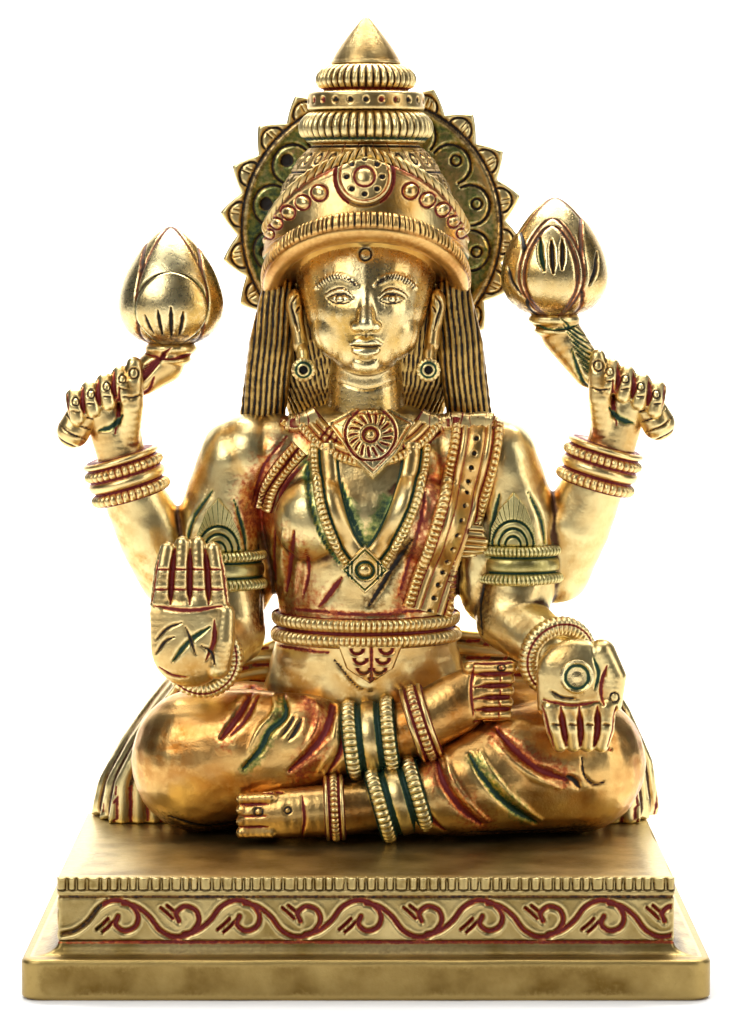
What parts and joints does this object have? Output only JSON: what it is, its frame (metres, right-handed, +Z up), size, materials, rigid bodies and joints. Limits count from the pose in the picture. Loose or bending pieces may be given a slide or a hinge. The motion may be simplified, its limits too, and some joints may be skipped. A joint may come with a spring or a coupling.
{
  "type": "hindu deity statue",
  "caption": "Cast brass figurine of a seated four-armed goddess with a crown, halo, lotus buds and raised palm, on a stepped hollow plinth.",
  "frame": {"origin": "middle of the plinth's underside", "axes": "+Z up, +Y to the figure's back, so it faces -Y, and +X to the figure's own left"},
  "size_m": [0.138, 0.092, 0.1985],
  "materials": {
    "worn_brass": "satin, worn, browned",
    "plinth_brass": "satin with dark red lacquer in the engraving",
    "coppery_brass": "polished with an orange gold tint, red and green lacquer in the folds",
    "polished_brass": "polished",
    "green_lacquered_brass": "polished ridges with dark green lacquer in the grooves",
    "darkened_brass": "polished ridges with dark brown in the grooves",
    "antique_brass": "polished, with dark patina in the hollows",
    "red_lacquered_brass": "polished ridges with maroon lacquer in the grooves"
  },
  "bodies": {
    "root": {"plinth_foot": "worn_brass", "plinth_block": "plinth_brass", "reeded_moulding": "plinth_brass", "back_drape": "antique_brass", "torso": "antique_brass", "right_leg": "coppery_brass", "left_leg": "coppery_brass", "right_foot": "coppery_brass", "left_foot": "coppery_brass", "right_shin_rings": "green_lacquered_brass", "right_foot_anklet": "red_lacquered_brass", "left_shin_rings": "green_lacquered_brass", "left_foot_anklet": "red_lacquered_brass", "waist_belt": "red_lacquered_brass", "belt_pendant": "red_lacquered_brass", "collar_necklace": "red_lacquered_brass", "collar_pendant": "red_lacquered_brass", "long_necklace": "red_lacquered_brass", "necklace_clasp": "red_lacquered_brass", "shoulder_sash": "red_lacquered_brass", "sleeve_trim": "red_lacquered_brass", "right_arm": "antique_brass", "left_arm": "antique_brass", "right_armlet": "green_lacquered_brass", "left_armlet": "green_lacquered_brass", "rear_right_arm": "antique_brass", "rear_left_arm": "antique_brass", "rear_right_bangle": "red_lacquered_brass", "rear_left_bangle": "red_lacquered_brass", "rear_right_hand": "polished_brass", "rear_left_hand": "polished_brass", "right_lotus_stem": "red_lacquered_brass", "left_lotus_stem": "red_lacquered_brass", "right_lotus_bud": "red_lacquered_brass", "left_lotus_bud": "red_lacquered_brass", "right_hand": "polished_brass", "left_hand": "polished_brass", "right_bangle": "red_lacquered_brass", "left_bangle": "red_lacquered_brass", "palm_coin": "polished_brass", "head": "polished_brass", "right_ear": "polished_brass", "left_ear": "polished_brass", "right_earring": "polished_brass", "left_earring": "polished_brass", "back_hair": "darkened_brass", "right_hair": "darkened_brass", "left_hair": "darkened_brass", "crown_brow_band": "red_lacquered_brass", "crown_dome": "red_lacquered_brass", "crown_diadem": "red_lacquered_brass", "crown_arch_cord": "red_lacquered_brass", "crown_tier_lower": "green_lacquered_brass", "crown_tier_middle": "polished_brass", "crown_tier_upper": "red_lacquered_brass", "crown_finial": "polished_brass", "halo": "green_lacquered_brass"}
  },
  "joints": []
}
